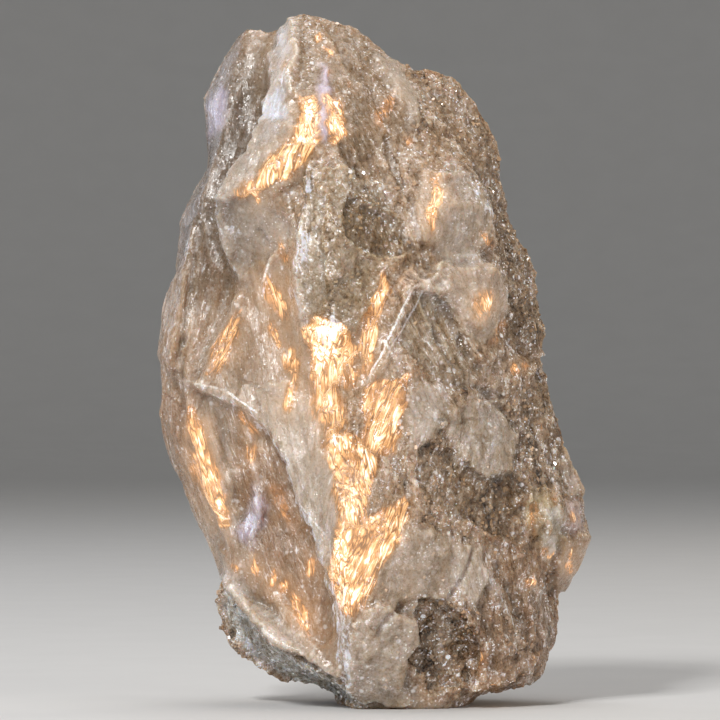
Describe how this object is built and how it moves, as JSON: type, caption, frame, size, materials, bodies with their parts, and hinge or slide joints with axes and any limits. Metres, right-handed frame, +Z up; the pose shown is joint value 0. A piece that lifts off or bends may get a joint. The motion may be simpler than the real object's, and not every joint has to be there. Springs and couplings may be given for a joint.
{
  "type": "mineral specimen",
  "caption": "Rough upright lump of sphalerite with cleavage faces, a granular flank, a drawn-out hollow under a waxy lip and a flat broken foot to stand on.",
  "frame": {"origin": "under the middle of the specimen's box, on the surface that its flat broken foot rests on", "axes": "+Z up through the standing specimen, its tallest direction; the face with the hollow and the ridge looks along -Y; +X to the right of someone who looks at that face"},
  "size_m": [0.0696, 0.051, 0.1105],
  "materials": {
    "sphalerite": "waxy to resinous cleavage faces with a sparkling granular crust"
  },
  "bodies": {
    "root": {"sphalerite_mass": "sphalerite"}
  },
  "joints": []
}
